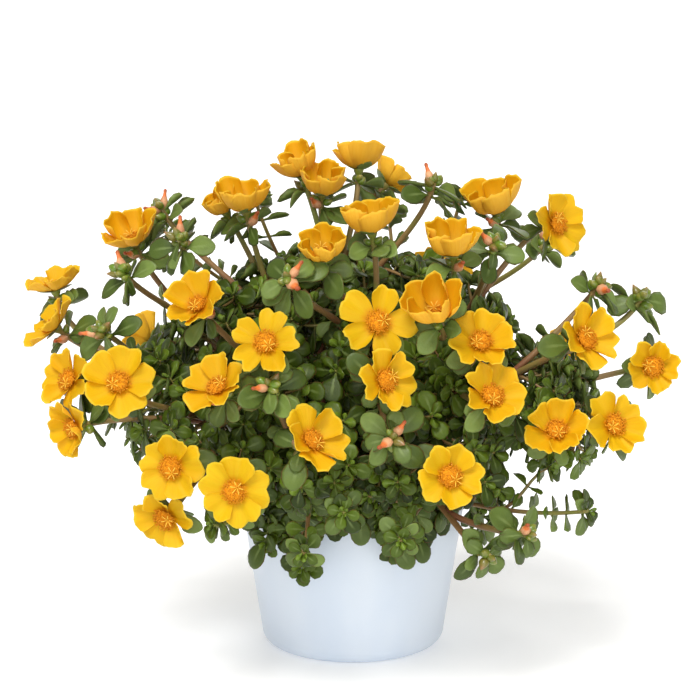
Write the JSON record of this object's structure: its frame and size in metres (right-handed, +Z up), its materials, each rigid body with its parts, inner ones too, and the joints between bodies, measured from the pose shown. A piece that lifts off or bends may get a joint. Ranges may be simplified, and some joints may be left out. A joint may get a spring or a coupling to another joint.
{
  "type": "potted portulaca",
  "caption": "Bushy portulaca in a tapered round pot: fleshy leafy stems with yellow five-petalled blooms all round, standing on the pot's flat base.",
  "frame": {"origin": "centre of the pot's flat underside", "axes": "+Z up, -Y towards the plant's front, +X to the right seen from the front"},
  "size_m": [0.3937, 0.3404, 0.3073],
  "materials": {
    "pot": "satin, pale blue-white",
    "soil": "matt, dark brown potting compost",
    "foliage": "fleshy green leaves with a soft sheen, olive to red-brown stems",
    "petals": "soft matt yellow petals with an orange throat"
  },
  "bodies": {
    "root": {"pot": "pot", "soil": "soil", "stem_crown": "foliage", "stem_upper_front": "foliage", "stem_upper_left": "foliage", "stem_left_high": "foliage", "stem_far_left": "foliage", "stem_left": "foliage", "stem_middle_left": "foliage", "stem_lower_left": "foliage", "stem_front": "foliage", "stem_middle": "foliage", "stem_upper_right": "foliage", "stem_high_right": "foliage", "stem_right_high": "foliage", "stem_right": "foliage", "stem_front_right": "foliage", "stem_low_right": "foliage", "stem_back_left": "foliage", "stem_back_right": "foliage", "bloom_01": "petals", "bloom_02": "petals", "bloom_03": "petals", "bloom_04": "petals", "bloom_05": "petals", "bloom_06": "petals", "bloom_07": "petals", "bloom_08": "petals", "bloom_09": "petals", "bloom_10": "petals", "bloom_11": "petals", "bloom_12": "petals", "bloom_13": "petals", "bloom_14": "petals", "bloom_15": "petals", "bloom_16": "petals", "bloom_17": "petals", "bloom_18": "petals", "bloom_19": "petals", "bloom_20": "petals", "bloom_21": "petals", "bloom_22": "petals", "bloom_23": "petals", "bloom_24": "petals", "bloom_25": "petals", "bloom_26": "petals", "bloom_27": "petals", "bloom_28": "petals", "bloom_29": "petals", "bloom_30": "petals", "bloom_31": "petals", "bloom_32": "petals", "bloom_33": "petals", "bloom_34": "petals", "bloom_35": "petals", "bloom_36": "petals", "bloom_37": "petals", "bloom_38": "petals", "bloom_39": "petals", "bloom_40": "petals"}
  },
  "joints": []
}
